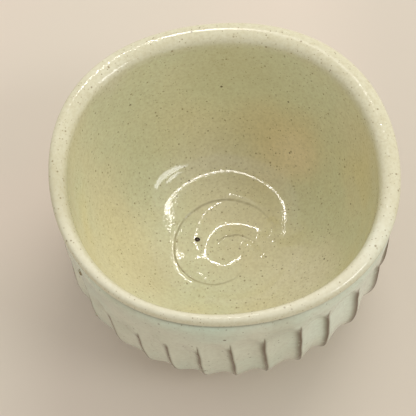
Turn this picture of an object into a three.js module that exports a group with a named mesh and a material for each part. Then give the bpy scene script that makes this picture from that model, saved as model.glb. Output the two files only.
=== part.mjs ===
// A hand-thrown stoneware yarn bowl with a rolled lip and a fluted outside.
// Millimetres, +Z up. The origin is the centre of the foot ring's underside, and the front faces -Y.
import * as THREE from "three";

// Driving dimensions
const RIM_RADIUS = 66; // the lip's widest circle
const HEIGHT = 78; // crown of the lip above the underside of the foot
const LIP_WIDTH = 7.6; // across the rolled lip
const LIP_LEAN = { mean: 0.3, swing: 1.7, angle: THREE.MathUtils.degToRad(60) }; // its inner edge comes in by this
const LIP_TUCK = 1.8; // and its outer edge is this much further in at the front
const CROWN_SHIFT = { size: 1.6, angle: THREE.MathUtils.degToRad(120) }; // its crown is further out on one side
const CREASE_DEPTH = 4.5; // crown of the lip down to the crease under its roll
const FLOOR_HEIGHT = 9; // inside floor above the underside of the foot
const FLOOR_RADIUS = 30; // flat of the inside floor
const WELL_CURVE = 2.3; // exponent of the superellipse that turns the floor up into the wall
const FOOT_RADIUS = 40; // outside of the foot ring
const FOOT_WIDTH = 6; // the band that the bowl stands on
const FOOT_EASE = 0.8; // rounding of the foot ring's edges
const FOOT_RECESS = 3.2; // hollow inside the foot ring
const GLAZE_LINE = 2.4; // bare clay below this height
const GLAZE_THICKNESS = 0.6;
const FLUTE_COUNT = 33;
const FLUTE_DEPTH = 2.3;
const FLUTE_LEAN = THREE.MathUtils.degToRad(3.5); // turn of a flute from FLUTE_LEAN_TOP down to the foot
const FLUTE_LEAN_TOP = 70;
const FLUTE_TOP = 61; // mean height of the scoops' upper ends
const FLUTE_TOP_SWING = 6; // the upper ends climb by this much towards FLUTE_TOP_HIGH_SIDE
const FLUTE_TOP_HIGH_SIDE = THREE.MathUtils.degToRad(-70);
const FLUTE_RUN_OUT = 8; // length over which a scoop fades in and out
const FLUTE_FOOT = 7; // height of the scoops' lower ends
const IRON_SPOT = { radius: 1.2, height: 0.5, x: -12.5, y: 3.5 };

// The mouth is slightly squared and oval: share of the radius, and the angle of a bulge, for each harmonic
const MOUTH = [
  { waves: 2, share: 0.005, angle: 1.87 },
  { waves: 3, share: -0.005, angle: -2.44 },
  { waves: 4, share: 0.015, angle: -2.27 },
];

const COLUMNS_PER_FLUTE = 3;
const COLUMNS = FLUTE_COUNT * COLUMNS_PER_FLUTE;
const WELL_STEPS = 6;

const point = (radius, height) => ({ radius, height });

// Lining from the centre of the floor up the wall and over the lip, down to the crease under it
function liningProfile() {
  const lipInner = RIM_RADIUS - LIP_WIDTH;
  const lipStart = HEIGHT - 3.5;
  const rows = [point(0, FLOOR_HEIGHT)];
  for (let step = 0; step <= WELL_STEPS; step++) {
    const turn = (step / WELL_STEPS) * (Math.PI / 2);
    const out = Math.sin(turn) ** (2 / WELL_CURVE);
    const down = Math.cos(turn) ** (2 / WELL_CURVE);
    rows.push(
      point(
        FLOOR_RADIUS + (lipInner - FLOOR_RADIUS) * out,
        lipStart - (lipStart - FLOOR_HEIGHT) * down,
      ),
    );
  }
  rows.push(point(RIM_RADIUS - LIP_WIDTH * 0.82, HEIGHT - 0.9));
  rows.push(point(RIM_RADIUS - LIP_WIDTH * 0.5, HEIGHT));
  rows.push(point(RIM_RADIUS - 0.9, HEIGHT - 1.2));
  rows.push(point(RIM_RADIUS, HEIGHT - 2.4));
  rows.push(crease());
  return rows;
}

const crease = () => point(RIM_RADIUS - 2.5, HEIGHT - CREASE_DEPTH);

// Outside coat from the crease down to the glaze line
function outsideProfile() {
  return [
    crease(),
    point(RIM_RADIUS - 1.4, HEIGHT - 5.8),
    point(RIM_RADIUS - 1.1, HEIGHT - 7.2),
    point(RIM_RADIUS - 1.3, HEIGHT - 12),
    point(RIM_RADIUS - 1.3, 57),
    point(RIM_RADIUS - 1, 45),
    point(RIM_RADIUS - 1.1, 35),
    point(RIM_RADIUS - 2.4, 26),
    point(RIM_RADIUS - 5.4, 18),
    point(RIM_RADIUS - 10.5, 11),
    point(RIM_RADIUS - 17, 6.8),
    point(FOOT_RADIUS + 3.2, 4.4),
    point(FOOT_RADIUS + GLAZE_THICKNESS, GLAZE_LINE),
  ];
}

// Bare foot from the glaze line round the ring to the centre of the recess
function footProfile() {
  const inner = FOOT_RADIUS - FOOT_WIDTH;
  return [
    point(FOOT_RADIUS, FOOT_EASE),
    point(FOOT_RADIUS - FOOT_EASE, 0),
    point(inner + FOOT_EASE, 0),
    point(inner, FOOT_EASE),
    point(inner - 1.2, FOOT_RECESS),
    point(0, FOOT_RECESS),
  ];
}

// Moves a profile off the glaze's surface by the coat's thickness, at right angles to the profile.
// The coats meet face to face in the crease, and the outside one stops square at the glaze line.
function underGlaze(profile) {
  return profile.map((place, index) => {
    const before = profile[Math.max(index - 1, 0)];
    const after = profile[Math.min(index + 1, profile.length - 1)];
    if (place.radius === 0) return point(0, place.height - GLAZE_THICKNESS);
    const isEnd = index === 0 || index === profile.length - 1;
    if (isEnd) return point(place.radius - GLAZE_THICKNESS, place.height);
    const along = new THREE.Vector2(after.radius - before.radius, after.height - before.height);
    along.normalize();
    return point(
      place.radius + along.y * GLAZE_THICKNESS,
      place.height - along.x * GLAZE_THICKNESS,
    );
  });
}

function mouthShape(angle, height) {
  const share = height / HEIGHT;
  const swell = MOUTH.reduce(
    (sum, bulge) => sum + bulge.share * Math.cos(bulge.waves * (angle - bulge.angle)),
    0,
  );
  return 1 + swell * share;
}

// How far the lip leans in at a place, so that it is wider on one side and tucked in at the front.
// The shift fades out down the inside wall, and ends just under the crease outside.
function lipShift(radius, height, angle, isOutside) {
  const share = THREE.MathUtils.clamp((RIM_RADIUS - radius) / LIP_WIDTH, 0, 1);
  const lean = LIP_LEAN.mean + LIP_LEAN.swing * Math.cos(angle - LIP_LEAN.angle);
  const tuck = LIP_TUCK * ((1 - Math.sin(angle)) / 2) ** 2;
  const creaseHeight = HEIGHT - CREASE_DEPTH;
  const up = THREE.MathUtils.clamp((height - FLOOR_HEIGHT) / (creaseHeight - FLOOR_HEIGHT), 0, 1);
  const fade = isOutside ? THREE.MathUtils.smoothstep(height, HEIGHT - 10, creaseHeight) : up ** 1.5;
  const isCrown = 1 - THREE.MathUtils.smoothstep(HEIGHT - height, 2.0, 3.3);
  const crown = (CROWN_SHIFT.size * isCrown * (1 + Math.cos(angle - CROWN_SHIFT.angle))) / 2;
  return fade * (crown * 4 * share * (1 - share) - lean * share - tuck * (1 - share));
}

// How far a scoop cuts in, from 0 on the arris between two flutes to the full depth in the middle
function fluteCut(column, angle, height) {
  const across = (column % COLUMNS_PER_FLUTE) / COLUMNS_PER_FLUTE;
  const top = FLUTE_TOP + FLUTE_TOP_SWING * Math.cos(angle - FLUTE_TOP_HIGH_SIDE);
  const fromTop = THREE.MathUtils.smoothstep(top + 2 - height, 0, FLUTE_RUN_OUT);
  const fromFoot = THREE.MathUtils.smoothstep(height, FLUTE_FOOT, FLUTE_FOOT + FLUTE_RUN_OUT);
  return FLUTE_DEPTH * 4 * across * (1 - across) * fromTop * fromFoot;
}

// One ring of points round the pot for each place on a profile
function rings(profile, isFluted) {
  return profile.map(({ radius, height }) => {
    const lean = isFluted ? FLUTE_LEAN * Math.max(1 - height / FLUTE_LEAN_TOP, 0) : 0;
    return Array.from({ length: COLUMNS }, (_, column) => {
      const angle = (column / COLUMNS) * 2 * Math.PI + lean;
      const cut = isFluted && radius > 0 ? fluteCut(column, angle, height) : 0;
      const shift = lipShift(radius, height, angle, isFluted);
      const reach = (radius - cut + shift) * mouthShape(angle, height);
      return new THREE.Vector3(reach * Math.cos(angle), reach * Math.sin(angle), height);
    });
  });
}

// Triangles between neighbouring rings. A surface that two bodies share is cut along the same diagonals.
function skin(rows, facesOut) {
  const corners = [];
  const add = (a, b, c) => corners.push(...(facesOut ? [a, c, b] : [a, b, c]));
  for (let row = 0; row + 1 < rows.length; row++) {
    const upper = rows[row];
    const lower = rows[row + 1];
    for (let column = 0; column < COLUMNS; column++) {
      const next = (column + 1) % COLUMNS;
      const startsAtPole = upper[column].distanceTo(upper[next]) === 0;
      const endsAtPole = lower[column].distanceTo(lower[next]) === 0;
      if (!startsAtPole) add(upper[column], upper[next], lower[next]);
      if (!endsAtPole) add(upper[column], lower[next], lower[column]);
    }
  }
  return corners;
}

function node(name, corners, material) {
  const geometry = new THREE.BufferGeometry().setFromPoints(corners);
  geometry.computeVertexNormals();
  const mesh = new THREE.Mesh(geometry, material);
  mesh.name = name;
  return mesh;
}

const lining = rings(liningProfile(), false);
const liningClay = rings(underGlaze(liningProfile()), false);
const outside = rings(outsideProfile(), true);
const outsideClay = rings(underGlaze(outsideProfile()), true);
const foot = rings(footProfile(), true);

function clayBody() {
  const rows = [...liningClay, ...outsideClay.slice(1), ...foot];
  const material = new THREE.MeshStandardMaterial({ color: 0xb7a88c, roughness: 0.9, metalness: 0 });
  return node("clay_body", skin(rows, true), material);
}

function glazeLining() {
  const seam = [lining.at(-1), liningClay.at(-1)];
  const corners = [...skin(lining, true), ...skin(seam, true), ...skin(liningClay, false)];
  const material = new THREE.MeshStandardMaterial({ color: 0xd9d2ae, roughness: 0.15, metalness: 0 });
  return node("glaze_lining", corners, material);
}

function glazeOutside() {
  const seam = [outside[0], outsideClay[0]];
  const edge = [outside.at(-1), outsideClay.at(-1)];
  const corners = [
    ...skin(outside, true),
    ...skin(seam, false),
    ...skin(edge, true),
    ...skin(outsideClay, false),
  ];
  const material = new THREE.MeshStandardMaterial({ color: 0xd8d4be, roughness: 0.25, metalness: 0 });
  return node("glaze_outside", corners, material);
}

function ironSpot() {
  const profile = [new THREE.Vector2(0, 0), new THREE.Vector2(IRON_SPOT.radius, 0)];
  for (const turn of [30, 60]) {
    const angle = THREE.MathUtils.degToRad(turn);
    const reach = IRON_SPOT.radius * Math.cos(angle);
    profile.push(new THREE.Vector2(reach, IRON_SPOT.height * Math.sin(angle)));
  }
  profile.push(new THREE.Vector2(0, IRON_SPOT.height));
  const geometry = new THREE.LatheGeometry(profile, 16);
  const material = new THREE.MeshStandardMaterial({ color: 0x2a1c12, roughness: 0.3, metalness: 0 });
  const mesh = new THREE.Mesh(geometry, material);
  mesh.name = "iron_spot";
  mesh.rotation.x = Math.PI / 2;
  mesh.position.set(IRON_SPOT.x, IRON_SPOT.y, FLOOR_HEIGHT);
  return mesh;
}

const yarnBowl = new THREE.Group();
yarnBowl.add(clayBody(), glazeLining(), glazeOutside(), ironSpot());
export default yarnBowl;
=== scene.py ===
# A hand-thrown stoneware yarn bowl: glazed inside and out, and fluted outside, with a throwing spiral
# on its floor. Shapes are worked out in millimetres and become metres where a mesh is made.
import math

import bpy
import numpy as np
from mathutils import Euler, Matrix, Vector


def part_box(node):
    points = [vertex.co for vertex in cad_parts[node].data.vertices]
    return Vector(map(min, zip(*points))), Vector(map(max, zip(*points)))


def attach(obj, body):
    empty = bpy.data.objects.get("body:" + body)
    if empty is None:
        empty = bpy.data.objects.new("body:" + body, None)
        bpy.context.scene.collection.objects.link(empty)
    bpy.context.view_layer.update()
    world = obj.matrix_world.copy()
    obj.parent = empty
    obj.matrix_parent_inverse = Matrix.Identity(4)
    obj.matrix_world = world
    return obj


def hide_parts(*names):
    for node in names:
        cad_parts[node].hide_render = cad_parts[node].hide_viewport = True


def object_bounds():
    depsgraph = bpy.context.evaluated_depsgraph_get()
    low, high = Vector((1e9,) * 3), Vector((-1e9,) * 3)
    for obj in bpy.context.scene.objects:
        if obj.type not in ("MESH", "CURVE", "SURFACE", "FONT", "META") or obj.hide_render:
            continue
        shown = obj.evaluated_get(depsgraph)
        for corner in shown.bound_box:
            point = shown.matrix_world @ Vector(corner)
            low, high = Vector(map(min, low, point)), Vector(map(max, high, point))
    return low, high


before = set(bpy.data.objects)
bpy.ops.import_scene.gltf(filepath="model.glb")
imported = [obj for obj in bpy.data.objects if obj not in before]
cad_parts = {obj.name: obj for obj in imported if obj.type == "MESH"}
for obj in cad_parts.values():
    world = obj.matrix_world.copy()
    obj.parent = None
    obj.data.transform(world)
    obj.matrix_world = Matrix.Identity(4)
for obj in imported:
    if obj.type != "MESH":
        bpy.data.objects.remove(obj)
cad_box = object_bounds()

MM = 0.001

# Sizes in millimetres. The height and the floor come from the parts in model.glb.
HEIGHT = cad_box[1][2] / MM
RIM_RADIUS = 66.0
FLOOR_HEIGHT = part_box("iron_spot")[0][2] / MM
LIP_WIDTH = 7.6
LIP_START = 3.5
CREASE_DEPTH = 4.5
CREASE_INSET = 2.5
GLAZE = 0.6
GLAZE_LINE = 2.4
FOOT_RADIUS = 40.0
FOOT_WIDTH = 6.0
FOOT_RECESS = 3.2

# The slightly squared mouth: waves round it, share of the radius, and the angle of a bulge
MOUTH = ((2, 0.005, 1.87), (3, -0.005, -2.44), (4, 0.015, -2.27))

# The rolled lip: (out from RIM_RADIUS, down from the crown), from the inside of the wall to the crease
LIP = (
    (-LIP_WIDTH, LIP_START), (-7.05, 1.7), (-5.8, 0.45), (-3.9, 0.0), (-2.1, 0.3), (-0.75, 1.1),
    (-0.1, 2.2), (-0.7, 3.4), (-CREASE_INSET, CREASE_DEPTH),
)  # fmt: skip
LIP_INWARD = 0.3  # the lip reaches this much further in all round
LIP_SPREAD = 1.7  # and this much further still on one side
LIP_SPREAD_SIDE = math.radians(60)
LIP_TUCK = 1.8  # it is this much narrower outside at the front
CROWN_SHIFT = 1.6  # its crown stands this much further out at the back left
CROWN_SIDE = math.radians(120)
CROWN_FADE = (2.0, 3.3)  # depths between which that shift fades out

rng = np.random.default_rng(12)


# ---------------------------------------------------------------- curves
def smooth(value, low, high):
    """0 at low and 1 at high, with a soft start and end."""
    share = np.clip((np.asarray(value, float) - low) / (high - low), 0, 1)
    return share * share * (3 - 2 * share)


def between(degrees, rises, falls):
    """1 within a sector, from the end of its rise to the start of its fall, and 0 outside it."""
    return smooth(degrees, *rises) * (1 - smooth(degrees, *falls))


def curve(x, points):
    """A smooth curve through a few (x, y) points, held level past its ends."""
    xs = np.array([point[0] for point in points], float)
    ys = np.array([point[1] for point in points], float)
    slope = np.gradient(ys, xs)
    x = np.clip(x, xs[0], xs[-1])
    i = np.clip(np.searchsorted(xs, x) - 1, 0, len(xs) - 2)
    step = xs[i + 1] - xs[i]
    t = (x - xs[i]) / step
    from_left = (2 * t**3 - 3 * t**2 + 1) * ys[i] + (t**3 - 2 * t**2 + t) * step * slope[i]
    from_right = (3 * t**2 - 2 * t**3) * ys[i + 1] + (t**3 - t**2) * step * slope[i + 1]
    return from_left + from_right


def closed_curve(degrees, points):
    """A curve round the pot. Angles past its last point are counted from below zero."""
    last = points[-1][0]
    return curve(np.where(degrees > last, degrees - 360, degrees), points)


def outline(points, per_span):
    """A smooth line through points in a plane, with the same number of steps in each span."""
    at = np.arange(len(points))
    fine = np.linspace(0, len(points) - 1, per_span * (len(points) - 1) + 1)
    first = curve(fine, list(zip(at, [point[0] for point in points])))
    second = curve(fine, list(zip(at, [point[1] for point in points])))
    return first, second


def bend(past, turn, width):
    """Height of a slope that begins at a line: zero before it and turn times the distance after it.
    The corner between the two is rounded over about the width."""
    return turn * (past + np.sqrt(past**2 + width**2)) / 2


def mouth(angle, height):
    """Factor that makes the pot wider or narrower than round. It does nothing at the table."""
    swell = sum(share * np.cos(waves * (angle - bulge)) for waves, share, bulge in MOUTH)
    return 1 + swell * height / HEIGHT


def lip_shift(out, angle, down):
    """How far a place on the lip moves, out from the middle of the pot, to make the lip uneven."""
    inward = LIP_INWARD + LIP_SPREAD * np.cos(angle - LIP_SPREAD_SIDE)
    tuck = LIP_TUCK * ((1 - np.sin(angle)) / 2) ** 2
    share = -out / LIP_WIDTH
    crown = CROWN_SHIFT * (1 + np.cos(angle - CROWN_SIDE)) / 2 * (1 - smooth(down, *CROWN_FADE))
    return crown * 4 * share * (1 - share) - inward * share - tuck * (1 - share)


def points_at(radius, angle, height):
    """Points from their distance to the pot's axis, their angle and their height."""
    return np.stack(np.broadcast_arrays(radius * np.cos(angle), radius * np.sin(angle), height), -1)


# ---------------------------------------------------------------- inside surface
# Lines of the throwing spiral: (degrees from +X counted anticlockwise, radius in millimetres)
TROUGH_LINE = (
    (-20, 25.0), (0, 25.4), (16, 26.7), (25, 29.4), (37, 32.3), (58, 35.2), (90, 37.5), (110, 37.3),
    (127, 36.4), (142, 34.0), (152, 31.0), (163, 26.8), (175, 24.2), (192, 23.6), (209, 23.9), (227, 22.8),
    (262, 22.5), (300, 24.0), (340, 25.0),
)  # fmt: skip
STEP_LINE = (
    (31, 22.0), (90, 21.9), (150, 22.2), (212, 21.9), (236, 20.5), (260, 18.1), (282, 15.5),
    (298, 13.3), (361, 12.2), (387, 8.8), (403, 7.1), (426, 5.2), (460, 4.2), (532, 3.8),
)  # fmt: skip
CREST_LINE = (
    (92, 21.5), (108, 19.7), (119, 18.5), (145, 15.2), (177, 13.3), (189, 12.1), (206, 10.2), (222, 9.6),
)  # fmt: skip
RING_LINE = (
    (-12, 8.5), (5, 11.0), (23, 15.3), (44, 13.1), (62, 11.3), (81, 10.4), (102, 9.6), (127, 8.6),
    (173, 8.8), (206, 9.8), (241, 9.6), (264, 9.0), (285, 8.0), (308, 7.6), (334, 7.5), (348, 8.5),
)  # fmt: skip
BRINK_LINE = ((-78, 15.5), (-20, 18.0), (31, 22.0), (212, 22.0), (260, 18.0), (282, 15.5))

# Along the step, which winds on past a whole turn: its height in millimetres, and its sharpness from 0 to 1
STEP_RISE = (
    (20, 0.0), (60, 0.45), (150, 0.5), (215, 0.35), (250, 0.1), (300, 0.06),
    (350, 0.1), (390, 0.35), (450, 0.35), (532, 0.0),
)  # fmt: skip
STEP_SHARPNESS = (
    (20, 0.2), (60, 0.8), (150, 1.0), (255, 1.0), (285, 0.4), (310, 0.0), (365, 0.1), (395, 0.9),
    (470, 0.9), (532, 0.1),
)  # fmt: skip
STEP_HALF_WIDTH = 0.4
STEP_FALL = 3.5  # outside the step's inner end the floor comes back down over this distance,
STEP_SLOW_FALL = 200  # and over this much more outside its outer end
STEP_QUICKENS = (240, 350)  # angles along the step over which the slow fall ends
EDGE_REACH = 0.42  # the floor is painted darker within about this distance of the step's edge

MOUND_HEIGHT = 0.6
FLOOR_DROP = 0.3  # the whole relief lies this much lower
DISH = 0.00074  # the whole floor is slightly hollow: height over the square of the radius
RING_TURN = 0.062  # slope on each side of the rings and crests
RING_WIDTH = 1.0
CREST_SECTOR = ((84, 98), (186, 226))  # angles over which the crest begins and ends
BRINK_WIDTH = 0.6
FRONT_SLOPE = 0.03
BACK_SECTOR = ((-6, 12), (228, 250))  # angles over which the back begins and ends
BACK_WRAP = 300  # angles past this one are counted from below zero
TROUGH_TURN = 0.24  # change of slope where the floor meets the wall
TROUGH_WIDTH = 2.6
TROUGH_LEAST_REACH = 6.0  # the floor comes down to the trough over at least this distance
SOFT_SECTOR = ((172, 192), (236, 256))  # here the floor meets the wall more softly:
SOFT_WIDTH = 1.6  # over this much more width,
SOFT_SHIFT = 1.3  # and this much further out

# The small unevenness of a line drawn with a finger: waves round the pot, and size
FINGER_WAVES = ((7, 0.12), (13, 0.07), (29, 0.035))
RING_SEED, CREST_SEED, STEP_SEED, TROUGH_SEED = 1.0, 2.0, 3.0, 4.0
STEP_WANDER = 0.8

# Thin ridges of clay that the finger dragged where it lifted: x and y in millimetres along each one
RIDGES = (
    ((21.6, 8.6), (19.6, 9.9), (18.8, 11.4), (19.3, 7.7), (18.7, 4.2), (17.3, 2.2), (14.7, 4.1)),
    ((7.4, -2.5), (8.2, 0.2), (10.2, 0.5), (11.0, -1.5), (13.7, -3.5), (11.2, -4.4), (8.6, -5.2)),
)
RIDGE_SPACING = 0.7
RIDGE_REACH = 1.6
RIDGE_RISE = 0.09  # each step of a ridge adds this much

# A flatter place low on the wall at the back left, where a thumb rested
THUMB_TURN = math.radians(126)
THUMB_RADIUS = 42.0
THUMB_REACH = (3.6, 8.0)  # up the wall, and round it
THUMB_RISE = 0.65

WALL_START = 3.0  # the wall begins this far outside the trough
WALL_FIRST_TURN = math.radians(4)  # the wall already tips up by this angle where it leaves the floor
INSIDE_COLUMNS = 480


def wander(degrees, seed):
    """How far a line drawn with a finger strays."""
    turn = np.radians(degrees)
    return sum(size * np.sin(waves * turn + seed * waves) for waves, size in FINGER_WAVES)


def ridge_steps():
    """Places along the ridges, a little apart, each of which carries one small swelling."""
    places = []
    for ridge in RIDGES:
        x, y = np.array(ridge).T
        along = np.concatenate([[0], np.cumsum(np.hypot(np.diff(x), np.diff(y)))])
        steps = np.arange(0, along[-1], RIDGE_SPACING)
        places += list(zip(np.interp(steps, along, x), np.interp(steps, along, y)))
    return places


def thumb_mark(radius, angle):
    """Height of the thumb's flatter place over the plain wall."""
    around = ((angle - THUMB_TURN + math.pi) % (2 * math.pi) - math.pi) * THUMB_RADIUS
    up_wall, round_wall = THUMB_REACH
    return THUMB_RISE * np.exp(-(((radius - THUMB_RADIUS) / up_wall) ** 2) - (around / round_wall) ** 2)


def trough_radius(degrees):
    """Where the floor meets the wall."""
    return closed_curve(degrees, TROUGH_LINE) + wander(degrees, TROUGH_SEED)


def past_step(radius, along):
    """Distance outside the sharp step, which winds in to the centre over one and a half turns."""
    return radius - curve(along, STEP_LINE) - STEP_WANDER * wander(along, STEP_SEED)


def on_step(along, points):
    """A value that changes along the step, and is zero past its ends."""
    return np.where((along < points[0][0]) | (along > points[-1][0]), 0, curve(along, points))


def step_edge(radius, degrees):
    """How near a point is to the sharp edge of the step, from 0 to 1."""
    near = 0
    for along in (degrees, degrees + 360):
        away = past_step(radius, along) / EDGE_REACH
        near = np.maximum(near, on_step(along, STEP_SHARPNESS) * np.exp(-(away**2)))
    return near


def is_back(degrees):
    """1 at the back and left, where a trough shows at the foot of the wall, and 0 in front."""
    return between(np.where(degrees > BACK_WRAP, degrees - 360, degrees), *BACK_SECTOR)


def finger_marks(radius, degrees):
    """Height of the rings and the step over the lowest ring, out to the trough and beyond."""
    ring = closed_curve(degrees, RING_LINE) + wander(degrees, RING_SEED)
    height = MOUND_HEIGHT * (1 - radius / ring)
    height += bend(radius - ring, MOUND_HEIGHT / ring + RING_TURN, RING_WIDTH)
    # Crest between the ring and the step, at the back and left
    has_crest = between(degrees, *CREST_SECTOR)
    past_crest = radius - curve(degrees, CREST_LINE) - wander(degrees, CREST_SEED)
    height -= has_crest * bend(past_crest, 2 * RING_TURN, RING_WIDTH)
    for along in (degrees, degrees + 360):
        past = past_step(radius, along)
        fall = STEP_FALL + STEP_SLOW_FALL * (1 - smooth(along, *STEP_QUICKENS))
        up = smooth(past, -STEP_HALF_WIDTH, STEP_HALF_WIDTH) * np.exp(-np.maximum(past, 0) / fall)
        height += on_step(along, STEP_RISE) * up
    # Outside the step the floor falls to the trough at the back, and climbs to the wall in front
    back = is_back(degrees)
    turn = -2 * RING_TURN * back * (1 - has_crest) + FRONT_SLOPE * (1 - back)
    return height + bend(radius - closed_curve(degrees, BRINK_LINE), turn, BRINK_WIDTH)


def floor_relief(radius, degrees):
    """Height of the throwing spiral over the plain floor."""
    height = finger_marks(radius, degrees)
    # The trough keeps one level all the way round
    trough, brink = trough_radius(degrees), closed_curve(degrees, BRINK_LINE)
    share = 1 - (trough - radius) / np.maximum(trough - brink, TROUGH_LEAST_REACH)
    height -= is_back(degrees) * finger_marks(trough, degrees) * smooth(share, 0, 1)
    soft = between(degrees, *SOFT_SECTOR)
    width = TROUGH_WIDTH + SOFT_WIDTH * soft
    height += DISH * radius**2 + bend(radius - trough - SOFT_SHIFT * soft, TROUGH_TURN, width)
    turn = np.radians(degrees)
    for x, y in ridge_steps():
        away = (radius * np.cos(turn) - x) ** 2 + (radius * np.sin(turn) - y) ** 2
        height += RIDGE_RISE * np.exp(-away / RIDGE_REACH**2)
    return height + thumb_mark(radius, turn) - FLOOR_DROP


def inside_rows(angle, floor_steps, wall_steps, lip_steps):
    """Rings of points from the centre of the floor up the wall, over the lip and down to the crease."""
    degrees = np.degrees(angle) % 360
    base = trough_radius(degrees) + WALL_START
    rows = []
    for share in np.linspace(0, 1, floor_steps + 1)[1:]:
        radius = base * share
        rows.append((radius, FLOOR_HEIGHT + floor_relief(radius, degrees)))
    # The wall is a quarter of an ellipse without its first few degrees
    base_height = rows[-1][1]
    lip_inner = RIM_RADIUS - LIP_WIDTH + lip_shift(-LIP_WIDTH, angle, LIP_START)
    rise = HEIGHT - LIP_START - base_height
    first = WALL_FIRST_TURN
    for turn in np.linspace(first, math.pi / 2, wall_steps + 1)[1:]:
        out = (math.sin(turn) - math.sin(first)) / (1 - math.sin(first))
        up = 1 - math.cos(turn) / math.cos(first)
        radius = base + (lip_inner - base) * out
        rows.append((radius, base_height + rise * up + thumb_mark(radius, angle)))
    for out, down in list(zip(*outline(LIP, lip_steps)))[1:]:
        radius = RIM_RADIUS + out + lip_shift(out, angle, down)
        rows.append((radius, np.full(len(angle), HEIGHT - down)))
    radius = np.array([radius for radius, _ in rows])
    height = np.array([height for _, height in rows])
    return points_at(radius * mouth(angle, height), angle, height)


# ---------------------------------------------------------------- outside surface
# Flutes. Angles are in degrees from the front, counted towards +X.
FIRST_ARRIS = -54.0
FLUTE_COUNT = 33
FRONT_PITCHES = (11.0, 11.5, 9.8, 10.2, 10.8, 10.7, 12.0, 10.0, 13.0, 13.5)
BACK_PITCH_VARIATION = (0.9, 1.1)
FRONT_DEPTHS = (1.1, 1.2, 1.3, 1.5, 1.6, 1.8, 1.9, 2.0, 2.0, 2.1)
FLUTE_DEPTH = 2.3
FLUTE_DEPTH_VARIATION = (0.8, 1.1)
FRONT_TOPS = (53.0, 53.0, 54.0, 53.5, 57.0, 60.0, 62.5, 64.0, 65.0, 60.0)
FLUTE_TOP = 58.0
FLUTE_TOP_VARIATION = 2.0
FLUTE_TOP_SWING = 5.0
FLUTE_TOP_HIGH_SIDE = 50.0
FLUTE_SKEW = 0.55  # a flute is deeper towards its +angle end, and steeper there
FLUTE_LEAN = 3.6  # a flute is turned by this much at the table, and less and less up to LEAN_HEIGHT
LEAN_HEIGHT = 70.0
# The arrises waver: size in degrees, and the height and the degrees round that make one radian of a wave
FLUTE_WAVER = ((0.14, 5.0, 7.0), (0.06, 1.9, 3.0))
COLUMNS_PER_FLUTE = 20

# Towards its top a flute runs in: it starts this far above its top, over this height, by this power
RUN_IN_START = 4.0
RUN_IN_HEIGHT = 10.0
RUN_IN_POWER = 0.8
RUN_OUT = (5.0, 15.0)  # heights over which a flute fades out near the foot
SCOOP_SOFTNESS = 0.02  # rounds the line where a flute runs out into the plain band
PLAIN_BAND = (6.5, 11.0)  # depths below the crown over which the cutting starts
LIP_FOLLOW = 10.0  # the wall follows the uneven lip down to this depth

# Where the glaze is thin: shares of half a flute before and after an arris. Painted shadow: a dark line
# just below the crease, for the shade under the lip.
ARRIS_WIDTHS = (0.21, 0.08)
ARRIS_STARTS = (0.4, 0.8)
CREASE_SHADOW_DROP = 0.15  # just below the crease
CREASE_SHADOW_WIDTH = 0.5
CREASE_SHADOW = 0.75

# The wall outside: (radius, height) from the crease down to the glaze line
WALL = (
    (RIM_RADIUS - CREASE_INSET, HEIGHT - CREASE_DEPTH), (RIM_RADIUS - 1.5, HEIGHT - 5.5),
    (RIM_RADIUS - 1.05, HEIGHT - 6.9), (RIM_RADIUS - 1.2, HEIGHT - 10.5), (RIM_RADIUS - 1.4, 59),
    (RIM_RADIUS - 1.0, 48), (RIM_RADIUS - 0.9, 38), (RIM_RADIUS - 1.6, 30), (RIM_RADIUS - 3.0, 24),
    (RIM_RADIUS - 5.4, 18), (RIM_RADIUS - 9.5, 12), (RIM_RADIUS - 15.5, 7.5), (FOOT_RADIUS + 3.2, 4.4),
    (FOOT_RADIUS + GLAZE, GLAZE_LINE),
)  # fmt: skip
WALL_STEPS = 12

# Turning marks in the recess of the foot
RECESS_INSET = 1.2
RECESS_REACH = 30
RECESS_HOLLOW = 0.5
TURNING_MARK = 0.07
TURNING_WAVE = 70
RECESS_STEPS = 70


def arris_angles():
    """Angle of each arris from the front, round the bowl. The hidden pitches vary a little too."""
    front = FIRST_ARRIS + np.concatenate([[0], np.cumsum(FRONT_PITCHES)])
    rest = rng.uniform(*BACK_PITCH_VARIATION, FLUTE_COUNT - len(FRONT_PITCHES))
    rest *= (360 - sum(FRONT_PITCHES)) / rest.sum()
    return np.concatenate([front, front[-1] + np.cumsum(rest)])


def flutes():
    """The start and end of each flute in degrees from the front, the height of its top, and its depth."""
    arrises = arris_angles()
    cuts = []
    for place, (start, end) in enumerate(zip(arrises[:-1], arrises[1:])):
        from_high_side = math.radians((start + end) / 2 - FLUTE_TOP_HIGH_SIDE)
        top = FLUTE_TOP + FLUTE_TOP_SWING * math.cos(from_high_side)
        top += rng.uniform(-FLUTE_TOP_VARIATION, FLUTE_TOP_VARIATION)
        depth = FLUTE_DEPTH * rng.uniform(*FLUTE_DEPTH_VARIATION)
        if place < len(FRONT_TOPS):
            top, depth = FRONT_TOPS[place], FRONT_DEPTHS[place]
        cuts.append((start, end, top, depth))
    return cuts


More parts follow.
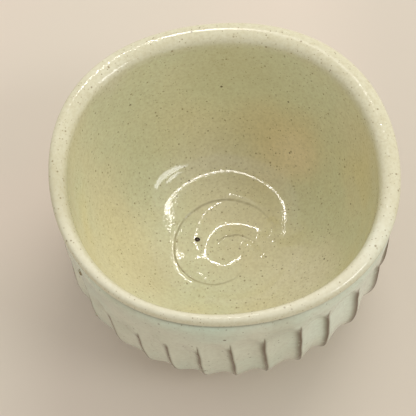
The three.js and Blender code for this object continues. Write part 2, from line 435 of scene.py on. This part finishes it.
def outside_rows():
    """Rings of points from the crease down to the glaze line, and how near each point is to an arris or to
    the painted shadow line under the crease.
    """
    starts, ends, tops, depths = np.array(flutes()).T
    across = (1 - np.cos(np.linspace(0, math.pi, COLUMNS_PER_FLUTE + 1)[:-1])) / 2
    from_front = (starts[:, None] + across * (ends - starts)[:, None]).ravel()
    lateral = np.tile(2 * across - 1, FLUTE_COUNT)
    tops, depths = np.repeat(tops, COLUMNS_PER_FLUTE), np.repeat(depths, COLUMNS_PER_FLUTE)
    radius, height = outline(WALL, WALL_STEPS)
    radius, height = radius[:, None], height[:, None]
    lean = FLUTE_LEAN * (1 - np.minimum(height / LEAN_HEIGHT, 1))
    # The waver does not repeat after a whole turn, so the rings fold a little at the first arris
    waver = sum(size * np.sin(height / rise + from_front / turn) for size, rise, turn in FLUTE_WAVER)
    angle = np.radians(from_front + lean + waver - 90)
    run_in = np.clip((tops + RUN_IN_START - height) / RUN_IN_HEIGHT, 0, 1) ** RUN_IN_POWER
    run_in = run_in * smooth(height, *RUN_OUT)
    # A flute is a parabola between its arrises, held at zero or above by a rounded corner
    scoop = run_in - lateral**2
    scoop = (scoop + np.sqrt(scoop**2 + SCOOP_SOFTNESS * (1 - run_in))) / 2
    cut = np.maximum(depths * scoop * (1 + FLUTE_SKEW * lateral), 0)
    cut = cut * smooth(height, HEIGHT - PLAIN_BAND[0], HEIGHT - PLAIN_BAND[1])
    before, after = ARRIS_WIDTHS
    to_arris = np.where(lateral > 0, (1 - lateral) / before, (1 + lateral) / after)
    near = np.exp(-(to_arris**2)) * smooth(run_in, *ARRIS_STARTS)
    # Painted shadow: a dark line just below the crease, for the shade under the lip.
    past_crease = (height - HEIGHT + CREASE_DEPTH + CREASE_SHADOW_DROP) / CREASE_SHADOW_WIDTH
    near = np.maximum(near, CREASE_SHADOW * np.exp(-(past_crease**2)))
    at_lip = smooth(height, HEIGHT - LIP_FOLLOW, HEIGHT - CREASE_DEPTH)
    radius = radius + at_lip * lip_shift(-CREASE_INSET, angle, CREASE_DEPTH)
    return points_at((radius - cut) * mouth(angle, height), angle, height), near


def foot_outline():
    """The bare foot: (radius, height) from the glaze line, round the ring and in to near the axis."""
    inner = FOOT_RADIUS - FOOT_WIDTH
    points = [
        (FOOT_RADIUS, GLAZE_LINE - GLAZE), (FOOT_RADIUS, 0.8), (FOOT_RADIUS - 0.25, 0.2),
        (FOOT_RADIUS - 0.8, 0.0), (inner + 0.8, 0.0), (inner + 0.25, 0.2), (inner, 0.8),
    ]  # fmt: skip
    for share in np.linspace(0, 1, RECESS_STEPS):
        mark = TURNING_MARK * math.sin(TURNING_WAVE * share)
        hollow = RECESS_HOLLOW * math.sin(3 * share)
        points.append((inner - RECESS_INSET - share * RECESS_REACH, FOOT_RECESS + mark - hollow))
    return points


# ---------------------------------------------------------------- meshes
SHARP_ANGLE = math.radians(60)


def under(rows, depth):
    """The rows moved into the clay by a depth, at right angles to the surface."""
    along = np.gradient(rows, axis=0)
    around = np.roll(rows, -1, 1) - np.roll(rows, 1, 1)
    normal = np.cross(around, along)
    normal /= np.linalg.norm(normal, axis=-1, keepdims=True)
    return rows + normal * depth


def shell(name, rows, poles=()):
    """A closed mesh of quads between neighbouring rings. Its ends close on two poles, or on each other."""
    count, columns = rows.shape[:2]
    points = np.concatenate([rows.reshape(-1, 3), np.reshape(poles, (-1, 3))]) * MM
    ring = np.arange(columns)
    after = (ring + 1) % columns
    last = (count - 1) * columns
    faces = []
    for low in range(0, last, columns):
        high = low + columns
        faces += np.stack([low + ring, high + ring, high + after, low + after], -1).tolist()
    if len(poles) > 0:
        start = np.full(columns, count * columns)
        faces += np.stack([start, ring, after], -1).tolist()
        faces += np.stack([start + 1, last + after, last + ring], -1).tolist()
    else:
        faces += np.stack([last + ring, ring, after, last + after], -1).tolist()
    mesh = bpy.data.meshes.new(name)
    mesh.from_pydata(points.tolist(), [], faces)
    mesh.update()
    mesh.shade_smooth()
    mesh.set_sharp_from_angle(angle=SHARP_ANGLE)
    return add_to_scene(name, mesh)


def add_to_scene(name, data):
    item = bpy.data.objects.new(name, data)
    bpy.context.scene.collection.objects.link(item)
    return item


def add_attribute(piece, name, values):
    """Store one value for each point, and zero for the points after the last value."""
    layer = piece.data.attributes.new(name, "FLOAT", "POINT")
    padded = np.zeros(len(piece.data.vertices), np.float32)
    padded[: len(values)] = values
    layer.data.foreach_set("value", padded)


# ---------------------------------------------------------------- materials
# Colours are linear red, green and blue.
CREAM = (0.73, 0.685, 0.46)
GREEN = (0.69, 0.695, 0.48)
OCHRE = (0.745, 0.675, 0.395)
PINK = (0.755, 0.645, 0.40)
LIP_COLOUR = (0.665, 0.635, 0.465)
# Painted highlight: the paler crown of the lip in front stands in for the sheen of the light there.
CROWN_SHEEN_COLOUR = (0.80, 0.77, 0.625)
# Painted shade on the lip's outer face, under its outer edge.
UNDER_LIP_SHADE_COLOUR = (0.55, 0.545, 0.42)
STEP_COLOUR = (0.27, 0.215, 0.12)
OUTSIDE_CREAM = (0.675, 0.685, 0.54)
# Pooled glaze, darker olive, also painted as the shade on each flute's steep side.
POOLED_AND_SHADE_COLOUR = (0.47, 0.50, 0.355)
ARRIS_COLOUR = (0.14, 0.095, 0.05)
CLAY_COLOUR = (0.42, 0.31, 0.20)
IRON_COLOUR = (0.018, 0.010, 0.006)
TABLE_COLOUR = (0.66, 0.59, 0.50)
# Painted shade: the table is darker towards +X.
TABLE_RIGHT_SHADE_COLOUR = (0.60, 0.535, 0.455)

# Mottling: the noise (scale, detail, roughness, seed), where it sets in, its strength and its colour
LINING_HUES = (
    ((22, 2, 0.5, 1.0), (0.4, 0.65), 1.0, GREEN),
    ((26, 2, 0.5, 5.0), (0.52, 0.75), 1.0, OCHRE),
)
LINING_GRAIN = (
    ((280, 3, 0.6, 11.0), (0.36, 0.64), 0.13, (0.50, 0.44, 0.25)),
    ((800, 3, 0.6, 8.0), (0.38, 0.7), 0.3, (0.45, 0.38, 0.2)),
)
OUTSIDE_HUES = (
    ((30, 2, 0.5, 1.5), (0.4, 0.65), 1.0, (0.60, 0.68, 0.54)),
    ((45, 2, 0.5, 2.5), (0.5, 0.7), 1.0, (0.585, 0.605, 0.465)),
)
OUTSIDE_GRAIN = (((600, 3, 0.6, 8.0), (0.35, 0.7), 0.2, (0.40, 0.35, 0.25)),)
CLAY_HUES = (((120, 4, 0.6, 1.0), (0.35, 0.65), 1.0, (0.33, 0.24, 0.155)),)
IRON_HUES = (((1500, 2, 0.5, 1.0), (0.4, 0.6), 1.0, (0.06, 0.03, 0.014)),)
TABLE_HUES = (((9, 2, 0.5, 1.0), (0.35, 0.65), 1.0, (0.68, 0.59, 0.505)),)

# Soft clouds of colour: the middle and reach in millimetres, strength and colour. Some are tints of the
# glaze, and some are painted light and painted shade, as noted above them.
WALL_TINTS_LIGHT_AND_SHADE = (
    ((26, 41, 24), 28, 0.85, PINK),
    ((-43, -2, 24), 24, 0.45, OCHRE),
    ((-34, 38, 58), 36, 1.0, GREEN),
    # Paler low on the back of the wall.
    ((-4, 36, 14), 28, 0.8, (0.765, 0.725, 0.54)),
    # Painted light: paler on the front right of the inner wall, where light from the right falls.
    ((34, -19, 18), 25, 1.0, (0.80, 0.76, 0.57)),
    # Darker low on the front left of the wall.
    ((-32, -12, 12), 18, 0.6, (0.64, 0.585, 0.37)),
    # Painted light: paler on the back right of the wall, with the glaze's pink tint.
    ((30, 36, 22), 16, 1.0, (0.82, 0.705, 0.48)),
    # Painted shade: darker olive high on the back of the inner wall, which faces away from the light.
    ((3, 57, 62), 30, 0.7, (0.61, 0.585, 0.37)),
)
LIP_PAINTED_LIGHT_AND_SHADE = (
    # Painted light: paler and cooler on the lip at the front right, for the sheen of the light from the
    # right.
    ((52, -36, 77), 18, 1.0, (0.71, 0.71, 0.56)),
    # Painted light: paler on the lip at the back left.
    ((-44, 42, 76), 14, 1.0, (0.72, 0.69, 0.52)),
    # Painted shade: darker on the lip at the left.
    ((-60, -10, 78), 26, 1.0, (0.57, 0.54, 0.38)),
)
# Painted light: paler and bluer on the front right of the outside, for the light and sheen from the right.
OUTSIDE_PAINTED_LIGHT = (((42, -50, 52), 34, 1.0, (0.755, 0.835, 0.69)),)

# Places where the lining's surface is less even or less glossy: the middle and reach in millimetres
UNEVEN_PLACES = (((-29, 6, 10), 16), ((22, 8, 10), 8), ((11, -3, 9), 4), ((-34, 44, 76), 26))
SATIN_PLACE = ((34, 50, 78), 52)

# Specks: spacing, size, share of the places that have one, seed, strength and colour
LINING_SPECKS = (
    (1.25, 0.42, 0.7, 3.1, 0.6, (0.27, 0.20, 0.09)),
    (2.2, 0.6, 0.5, 5.7, 0.65, (0.20, 0.14, 0.06)),
    (5.5, 0.75, 0.25, 7.7, 0.9, (0.10, 0.065, 0.03)),
)
OUTSIDE_SPECKS = (
    (1.4, 0.42, 0.6, 4.4, 0.45, (0.28, 0.22, 0.13)),
    (2.6, 0.6, 0.5, 6.4, 0.6, (0.17, 0.12, 0.07)),
    (7.0, 0.9, 0.35, 8.2, 0.85, (0.10, 0.065, 0.035)),
)
CLAY_SPECKS = ((1.8, 0.4, 0.5, 2.2, 1.0, (0.10, 0.06, 0.035)),)


class Nodes:
    """Short names for the nodes of one material."""

    def __init__(self, name):
        self.material = bpy.data.materials.new(name)
        self.material.use_nodes = True
        self.tree = self.material.node_tree
        self.shader = self.tree.nodes["Principled BSDF"]
        self.place = self.add("ShaderNodeTexCoord").outputs["Object"]

    def add(self, kind, **settings):
        node = self.tree.nodes.new(kind)
        for key, value in settings.items():
            setattr(node, key, value)
        return node

    def link(self, source, target):
        self.tree.links.new(source, target)

    def noise(self, scale, detail, roughness, seed):
        node = self.add("ShaderNodeTexNoise", noise_dimensions="4D")
        self.link(self.place, node.inputs["Vector"])
        node.inputs["W"].default_value = seed
        node.inputs["Scale"].default_value = scale
        node.inputs["Detail"].default_value = detail
        node.inputs["Roughness"].default_value = roughness
        return node.outputs["Fac"]

    def ramp(self, value, low, high, start=0.0, end=1.0):
        node = self.add("ShaderNodeMapRange", interpolation_type="SMOOTHSTEP")
        self.link(value, node.inputs["Value"])
        node.inputs["From Min"].default_value = low
        node.inputs["From Max"].default_value = high
        node.inputs["To Min"].default_value = start
        node.inputs["To Max"].default_value = end
        return node.outputs["Result"]

    def math(self, operation, *values):
        node = self.add("ShaderNodeMath", operation=operation)
        for socket, value in zip(node.inputs, values):
            if isinstance(value, (int, float)):
                socket.default_value = value
            else:
                self.link(value, socket)
        return node.outputs[0]

    def mix(self, share, first, second):
        node = self.add("ShaderNodeMix", data_type="RGBA")
        colours = [socket for socket in node.inputs if socket.type == "RGBA"]
        self.link(share, node.inputs[0])
        for socket, value in zip(colours, (first, second)):
            if isinstance(value, tuple):
                socket.default_value = (*value, 1)
            else:
                self.link(value, socket)
        return next(socket for socket in node.outputs if socket.type == "RGBA")

    def attribute(self, name):
        return self.add("ShaderNodeAttribute", attribute_name=name).outputs["Fac"]

    def coordinate(self, axis):
        """Distance along X, Y or Z."""
        split = self.add("ShaderNodeSeparateXYZ")
        self.link(self.place, split.inputs[0])
        return split.outputs[axis]

    def reach_from_axis(self):
        """Distance from the middle axis of the pot."""
        flat = self.add("ShaderNodeVectorMath", operation="MULTIPLY")
        self.link(self.place, flat.inputs[0])
        flat.inputs[1].default_value = (1, 1, 0)
        length = self.add("ShaderNodeVectorMath", operation="LENGTH")
        self.link(flat.outputs[0], length.inputs[0])
        return length.outputs["Value"]

    def patch(self, centre, reach):
        """1 near a place on the pot and 0 far from it, with an uneven edge."""
        away = self.add("ShaderNodeVectorMath", operation="DISTANCE")
        self.link(self.place, away.inputs[0])
        away.inputs[1].default_value = [value * MM for value in centre]
        ragged = self.math("MULTIPLY", self.noise(60, 2, 0.5, centre[0]), 0.5 * reach * MM)
        far = self.math("ADD", away.outputs["Value"], ragged)
        return self.ramp(far, 1.25 * reach * MM, 0.35 * reach * MM)

    def round_specks(self, cell, size, share, seed):
        """Round specks: one in some of the cells, each of its own size."""
        shifted = self.add("ShaderNodeVectorMath", operation="ADD")
        self.link(self.place, shifted.inputs[0])
        shifted.inputs[1].default_value = (seed, seed * 0.7, seed * 1.3)
        node = self.add("ShaderNodeTexVoronoi")
        self.link(shifted.outputs[0], node.inputs["Vector"])
        node.inputs["Scale"].default_value = 1 / (cell * MM)
        split = self.add("ShaderNodeSeparateColor")
        self.link(node.outputs["Color"], split.inputs[0])
        chosen = self.ramp(split.outputs[0], share, share * 0.8)
        reach = self.math("MULTIPLY_ADD", split.outputs[1], size / cell * 0.7, size / cell * 0.3)
        inside = self.math("DIVIDE", node.outputs["Distance"], reach)
        return self.math("MULTIPLY", chosen, self.ramp(inside, 1.0, 0.45))

    def mottle(self, colour, kinds):
        for noise, sets_in, strength, tint in kinds:
            colour = self.mix(self.ramp(self.noise(*noise), *sets_in, 0.0, strength), colour, tint)
        return colour

    def clouds(self, colour, kinds):
        for centre, reach, strength, tint in kinds:
            colour = self.mix(self.math("MULTIPLY", self.patch(centre, reach), strength), colour, tint)
        return colour

    def specks(self, colour, kinds):
        for cell, size, share, seed, strength, tint in kinds:
            spots = self.round_specks(cell, size, share, seed)
            colour = self.mix(self.math("MULTIPLY", spots, strength), colour, tint)
        return colour

    def bump(self, value, strength, distance):
        node = self.add("ShaderNodeBump")
        self.link(value, node.inputs["Height"])
        node.inputs["Strength"].default_value = strength
        node.inputs["Distance"].default_value = distance * MM
        self.link(node.outputs[0], self.shader.inputs["Normal"])

    def finish(self, colour, roughness):
        self.link(colour, self.shader.inputs["Base Color"])
        if isinstance(roughness, float):
            self.shader.inputs["Roughness"].default_value = roughness
        else:
            self.link(roughness, self.shader.inputs["Roughness"])
        return self.material


def paint_lip_sheen_and_shade(nodes, colour):
    """Painted highlight: paler on the crown of the lip in front, for the sheen of the light there. Painted
    shade: darker on the lip's outer face, under its outer edge.
    """
    up = nodes.coordinate("Z")
    in_front = nodes.ramp(nodes.coordinate("Y"), 0.0, -45 * MM, 0.0, 0.4)
    crown_sheen = nodes.ramp(up, (HEIGHT - 1.0) * MM, (HEIGHT - 0.05) * MM)
    colour = nodes.mix(nodes.math("MULTIPLY", in_front, crown_sheen), colour, CROWN_SHEEN_COLOUR)
    outside = nodes.ramp(nodes.reach_from_axis(), 61.3 * MM, 63.0 * MM, 0.0, 0.7)
    below = nodes.ramp(up, (HEIGHT - 1.2) * MM, (HEIGHT - 3.6) * MM)
    return nodes.mix(nodes.math("MULTIPLY", outside, below), colour, UNDER_LIP_SHADE_COLOUR)


def lining_glaze():
    nodes = Nodes("lining glaze")
    # The wall clouds include painted light and painted shade.
    colour = nodes.clouds(nodes.mottle(CREAM, LINING_HUES), WALL_TINTS_LIGHT_AND_SHADE)
    ragged = nodes.math("MULTIPLY", nodes.noise(90, 2, 0.5, 3.0), 2 * MM)
    up = nodes.math("ADD", nodes.coordinate("Z"), ragged)
    colour = nodes.mix(nodes.ramp(up, (HEIGHT - 6.5) * MM, (HEIGHT - 0.3) * MM), colour, LIP_COLOUR)
    # The lip clouds are painted light and painted shade.
    colour = nodes.mottle(nodes.clouds(colour, LIP_PAINTED_LIGHT_AND_SHADE), LINING_GRAIN)
    # Paints the sheen on the lip's crown in front and the shade under its outer edge.
    colour = paint_lip_sheen_and_shade(nodes, colour)
    patchy = nodes.ramp(nodes.noise(330, 3, 0.6, 6.0), 0.25, 0.6, 0.2, 0.6)
    # Darker along the sharp edge of the step, in patches.
    colour = nodes.mix(nodes.math("MULTIPLY", nodes.attribute("edge"), patchy), colour, STEP_COLOUR)
    colour = nodes.specks(colour, LINING_SPECKS)
    dull = nodes.ramp(nodes.noise(160, 2, 0.5, 2.0), 0.5, 0.7, 0.0, 0.25)
    satin = nodes.math("MAXIMUM", nodes.patch(*SATIN_PLACE), dull)
    uneven = nodes.patch(*UNEVEN_PLACES[0])
    for place in UNEVEN_PLACES[1:]:
        uneven = nodes.math("MAXIMUM", uneven, nodes.patch(*place))
    relief = nodes.math("MULTIPLY", nodes.noise(850, 1, 0.5, 4.0), nodes.ramp(uneven, 0.0, 1.0, 0.17, 0.55))
    nodes.bump(relief, strength=1.0, distance=0.22)
    return nodes.finish(colour, nodes.ramp(satin, 0.0, 1.0, 0.085, 0.24))


def outside_glaze():
    nodes = Nodes("outside glaze")
    # Painted light on the front right of the outside.
    colour = nodes.clouds(nodes.mottle(OUTSIDE_CREAM, OUTSIDE_HUES), OUTSIDE_PAINTED_LIGHT)
    colour = nodes.mottle(colour, OUTSIDE_GRAIN)
    # Beside each arris the colour is darker olive: pooled glaze, and painted shade on the steep side of the
    # flute. The glaze breaks over the arris, so that iron brown shows in places.
    # The arris marks also carry the painted shadow line under the crease, which takes the pooled and
    # iron-brown colours.
    arris = nodes.attribute("arris")
    pooling_and_shade = nodes.ramp(nodes.noise(40, 2, 0.5, 9.0), 0.3, 0.7, 0.15, 0.5)
    colour = nodes.mix(nodes.math("MULTIPLY", nodes.ramp(arris, 0.0, 0.5), pooling_and_shade), colour, POOLED_AND_SHADE_COLOUR)
    broken = nodes.ramp(nodes.noise(300, 4, 0.7, 6.0), 0.24, 0.44)
    colour = nodes.mix(nodes.math("MULTIPLY", arris, broken), colour, ARRIS_COLOUR)
    nodes.bump(nodes.noise(320, 3, 0.5, 4.0), strength=0.25, distance=0.15)
    return nodes.finish(nodes.specks(colour, OUTSIDE_SPECKS), roughness=0.16)


def bare_clay():
    nodes = Nodes("bare stoneware")
    colour = nodes.specks(nodes.mottle(CLAY_COLOUR, CLAY_HUES), CLAY_SPECKS)
    nodes.bump(nodes.noise(900, 4, 0.6, 4.0), strength=0.5, distance=0.25)
    return nodes.finish(colour, roughness=0.85)


def iron():
    nodes = Nodes("melted iron")
    nodes.bump(nodes.noise(2500, 2, 0.5, 2.0), strength=0.3, distance=0.08)
    return nodes.finish(nodes.mottle(IRON_COLOUR, IRON_HUES), roughness=0.18)


def pale_table():
    nodes = Nodes("pale table")
    colour = nodes.mottle(TABLE_COLOUR, TABLE_HUES)
    # Painted shade: the table darkens towards +X.
    shade_to_right = nodes.ramp(nodes.coordinate("X"), 30 * MM, 90 * MM)
    return nodes.finish(nodes.mix(shade_to_right, colour, TABLE_RIGHT_SHADE_COLOUR), roughness=0.7)


# ---------------------------------------------------------------- pieces
# The hidden back of a coat has one ring for this many rings of its face
LINING_BACK_STEP = 8
OUTSIDE_BACK_STEP = 3
STEP_ZONE = 4.0  # the step's edge is marked only below this height over the floor

# The granule: the height of its base and of its dome, and its edge as a share of its radius, with waves
SPOT_LIFT = 0.1
SPOT_DOME = 0.5
SPOT_EDGE = 0.93
SPOT_WAVES = ((2, 0.05, 0.6), (3, 0.03, 0.0))
SPOT_COLUMNS = 40
SPOT_RINGS = 8


def finish_piece(piece, node, material):
    piece.data.materials.append(material)
    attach(piece, "root")
    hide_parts(node)


def make_lining():
    angle = np.arange(INSIDE_COLUMNS) * 2 * math.pi / INSIDE_COLUMNS
    rows = inside_rows(angle, floor_steps=110, wall_steps=36, lip_steps=5)
    back = under(rows, GLAZE)[::-LINING_BACK_STEP]
    centre = rows[0, :, 2].mean()
    poles = ((0, 0, centre), (0, 0, centre - GLAZE))
    piece = shell("inside_glaze_coat", np.concatenate([rows, back]), poles)
    radius = np.hypot(rows[..., 0], rows[..., 1])
    degrees = np.degrees(np.arctan2(rows[..., 1], rows[..., 0])) % 360
    on_floor = rows[..., 2] < FLOOR_HEIGHT + STEP_ZONE
    add_attribute(piece, "edge", (step_edge(radius, degrees) * on_floor).ravel())
    finish_piece(piece, "glaze_lining", lining_glaze())


def make_outside(rows, arris_and_crease_shadow):
    back = under(rows, GLAZE)[::-OUTSIDE_BACK_STEP]
    piece = shell("outside_glaze_coat", np.concatenate([rows, back]))
    add_attribute(piece, "arris", arris_and_crease_shadow.ravel())
    finish_piece(piece, "glaze_outside", outside_glaze())


def make_clay(outer):
    """The pot under its two coats, with a bare foot ring and the turning marks in its recess."""
    angle = np.arctan2(outer[0, :, 1], outer[0, :, 0])
    inner = under(inside_rows(angle, floor_steps=60, wall_steps=16, lip_steps=2), GLAZE)
    way = outer[-1, :, :2] / np.linalg.norm(outer[-1, :, :2], axis=1, keepdims=True)
    foot = [
        np.column_stack([way * radius, np.full(len(way), height)]) for radius, height in foot_outline()
    ]
    rows = np.concatenate([inner, under(outer, GLAZE)[2::2], np.array(foot)])
    poles = ((0, 0, inner[0, :, 2].mean()), (0, 0, FOOT_RECESS))
    piece = shell("stoneware_body", rows, poles)
    finish_piece(piece, "clay_body", bare_clay())


def make_iron_spot():
    """A melted granule with a wavy edge and a domed top."""
    low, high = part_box("iron_spot")
    x, y = [(low[axis] + high[axis]) / 2 / MM for axis in (0, 1)]
    radius = (high[0] - low[0]) / 2 / MM
    turns = np.linspace(0, 2 * math.pi, SPOT_COLUMNS, endpoint=False)
    swell = sum(size * np.cos(waves * turns + phase) for waves, size, phase in SPOT_WAVES)
    edge = radius * (SPOT_EDGE + swell)
    base = FLOOR_HEIGHT + SPOT_LIFT
    rows = []
    for lift in np.linspace(0, math.pi / 2, SPOT_RINGS + 1)[:-1]:
        height = base + SPOT_DOME * math.sin(lift)
        rows.append(points_at(edge * math.cos(lift), turns, height) + (x, y, 0))
    rows = np.array(rows)[:, ::-1]
    piece = shell("iron_granule", rows, ((x, y, base), (x, y, base + SPOT_DOME)))
    finish_piece(piece, "iron_spot", iron())


# ---------------------------------------------------------------- table, camera and lights
TABLE_REACH = 3.0
TABLE_DROP = 0.2 * MM  # just under the foot, so that the two faces do not coincide

CAMERA_PLACE = Vector((0, -2.8978, 5.8880))  # in rim radii
CAMERA_TURN = (28.9083, 1.8702, -1.3113)  # degrees about X, Y and Z
CAMERA_LENS = 86.54

SKY_COLOUR = (1.0, 0.972, 0.93, 1)
SKY_STRENGTH = 0.715
WARM = (1.0, 0.97, 0.92)
COOL = (0.97, 1.0, 1.0)
LAMPS_AIM = Vector((0, 0, 0.03))
PANE_AZIMUTHS = (-28.5, -16.5)


def make_table():
    reach, low = TABLE_REACH, -TABLE_DROP
    corners = [(-reach, -reach, low), (reach, -reach, low), (reach, reach, low), (-reach, reach, low)]
    mesh = bpy.data.meshes.new("table")
    mesh.from_pydata(corners, [], [(0, 1, 2, 3)])
    mesh.materials.append(pale_table())
    add_to_scene("table", mesh)


def make_camera():
    camera = bpy.data.cameras.new("camera")
    camera.sensor_width = 36
    camera.lens = CAMERA_LENS
    camera.clip_start = 0.01
    eye = add_to_scene("camera", camera)
    turn = Euler([math.radians(degrees) for degrees in CAMERA_TURN]).to_matrix().to_4x4()
    eye.matrix_world = Matrix.Translation(CAMERA_PLACE * RIM_RADIUS * MM) @ turn
    bpy.context.scene.camera = eye


def lamp(name, azimuth, elevation, distance, width, power, colour, height=None):
    """An area lamp that faces the bowl. Azimuth is in degrees from +X, counted anticlockwise."""
    light = bpy.data.lights.new(name, "AREA")
    light.shape = "RECTANGLE" if height else "DISK"
    light.size = width
    if height:
        light.size_y = height
    light.energy = power
    light.color = colour
    lit = add_to_scene(name, light)
    turn, lift = math.radians(azimuth), math.radians(elevation)
    way = Vector((math.cos(turn) * math.cos(lift), math.sin(turn) * math.cos(lift), math.sin(lift)))
    lit.location = LAMPS_AIM + way * distance
    lit.rotation_euler = way.to_track_quat("Z", "Y").to_euler()
    return lit


def make_lights():
    world = bpy.data.worlds.new("room")
    bpy.context.scene.world = world
    world.use_nodes = True
    sky = world.node_tree.nodes["Background"]
    sky.inputs["Color"].default_value = SKY_COLOUR
    sky.inputs["Strength"].default_value = SKY_STRENGTH
    window = lamp("window", azimuth=64, elevation=50, distance=0.8, width=0.6, power=2.8, colour=WARM)
    window.visible_glossy = False
    # Draws the bright lines on the floor. It casts no shadow, since the back wall would hide some of them.
    spark = lamp("spark", azimuth=90, elevation=63.3, distance=1.6, width=0.075, power=0.85, colour=WARM)
    spark.data.use_shadow = False
    for azimuth in PANE_AZIMUTHS:
        lamp("pane", azimuth, elevation=43, distance=1.6, width=0.25, power=2.0, colour=COOL, height=0.36)


make_lining()
outer_rows, arris_and_crease_shadow_marks = outside_rows()
make_outside(outer_rows, arris_and_crease_shadow_marks)
make_clay(outer_rows)
make_iron_spot()
make_table()
make_camera()
make_lights()
bpy.context.scene.view_settings.view_transform = "Standard"
